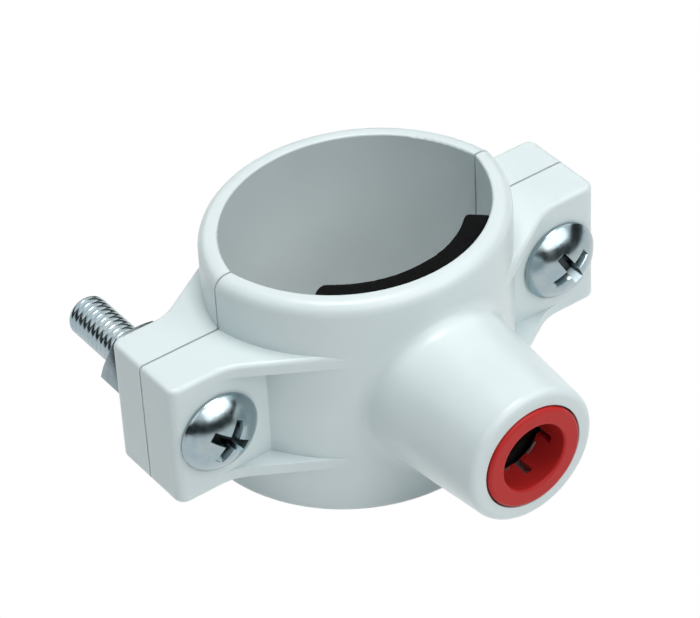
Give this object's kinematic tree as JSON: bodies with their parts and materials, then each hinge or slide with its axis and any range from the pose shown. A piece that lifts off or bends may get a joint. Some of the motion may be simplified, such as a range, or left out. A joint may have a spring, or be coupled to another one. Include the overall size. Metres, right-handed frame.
{
  "type": "tapping saddle",
  "caption": "Two-piece clamp saddle that closes round a waste pipe with two screws and joins a small push-fit tube to it through a foam-sealed side boss.",
  "frame": {"origin": "on the pipe's axis, on the parting plane, halfway up the ring", "axes": "+Z along the pipe's axis, -Y along the boss out of its mouth, +X to the right ear seen from the boss"},
  "size_m": [0.0692, 0.0614, 0.035],
  "materials": {
    "white_plastic": "white moulded plastic, satin gloss",
    "black_foam": "black closed-cell sealing foam, matt",
    "black_rubber": "black moulded rubber",
    "red_plastic": "red moulded plastic, satin",
    "stainless_steel": "stamped stainless steel",
    "zinc_plated_steel": "bright zinc plating"
  },
  "bodies": {
    "front": {"front_saddle": "white_plastic", "sealing_pad": "black_foam", "tube_seal": "black_rubber"},
    "push_collet": {"collet": "red_plastic", "grip_teeth": "stainless_steel"},
    "left_screw": {"clamp_screw_left": "zinc_plated_steel"},
    "right_screw": {"clamp_screw_right": "zinc_plated_steel"},
    "rear": {"rear_saddle": "white_plastic", "clamp_nut_left": "zinc_plated_steel", "clamp_nut_right": "zinc_plated_steel"}
  },
  "joints": [
    {"name": "collet_press", "type": "slide", "parent": "front", "child": "push_collet", "axis": [0, 1, 0], "range_m": [0, 0.001]},
    {"name": "left_screw_turn", "type": "hinge", "parent": "front", "child": "left_screw", "pos_m": [-0.028, 0, 0], "axis": [0, -1, 0], "range_deg": [0, 4320]},
    {"name": "right_screw_turn", "type": "hinge", "parent": "front", "child": "right_screw", "pos_m": [0.028, 0, 0], "axis": [0, -1, 0], "range_deg": [0, 4320]},
    {"name": "clamp_open", "type": "slide", "parent": "front", "child": "rear", "axis": [0, 1, 0], "range_m": [0, 0.012]}
  ],
  "couplings": [
    {"joint": "left_screw_turn", "follows": "clamp_open", "rad_per_m": 6283.2},
    {"joint": "right_screw_turn", "follows": "clamp_open", "rad_per_m": 6283.2}
  ]
}
